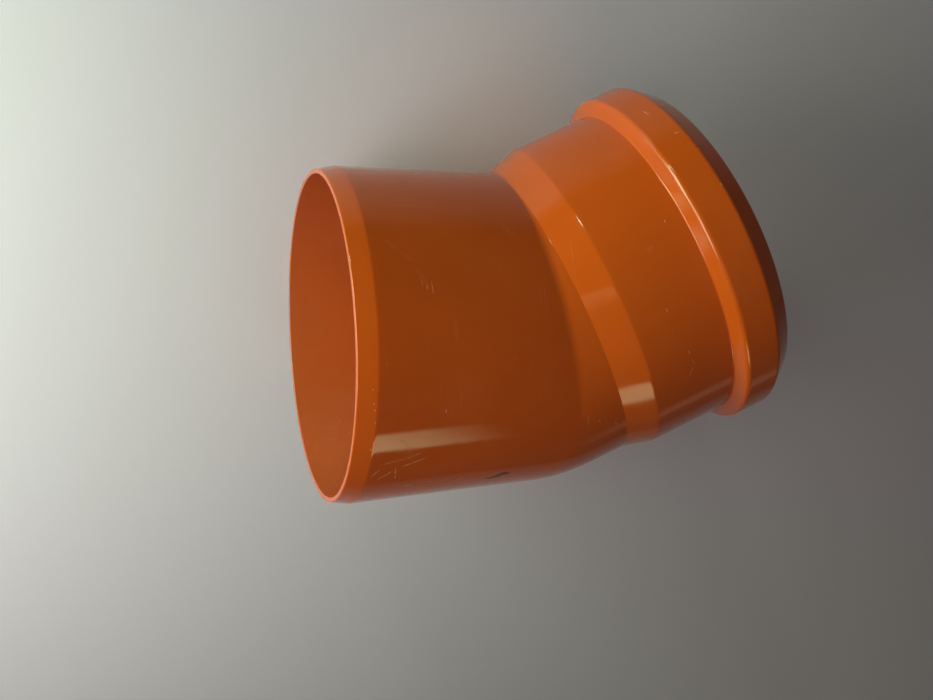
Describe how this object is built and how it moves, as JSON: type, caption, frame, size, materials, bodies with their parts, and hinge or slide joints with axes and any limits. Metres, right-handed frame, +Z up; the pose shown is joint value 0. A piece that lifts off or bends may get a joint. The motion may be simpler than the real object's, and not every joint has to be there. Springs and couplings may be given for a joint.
{
  "type": "pvc pipe elbow",
  "caption": "Thirty degree bend for sewer pipe in glossy orange-brown PVC-U, with a chamfered spigot and a ring-seal socket.",
  "frame": {"origin": "middle of the footprint, on the floor that the bend lies on", "axes": "+Z up as the bend lies unheld; +X along the spigot's axis from its end towards the bend; the socket turns towards +Y and rises about 7 degrees"},
  "size_m": [0.2976, 0.2568, 0.2275],
  "materials": {
    "elbow_body": "moulded gloss, orange-brown",
    "sealing_ring": "matt black"
  },
  "bodies": {
    "root": {"elbow_body": "elbow_body", "sealing_ring": "sealing_ring"}
  },
  "joints": []
}
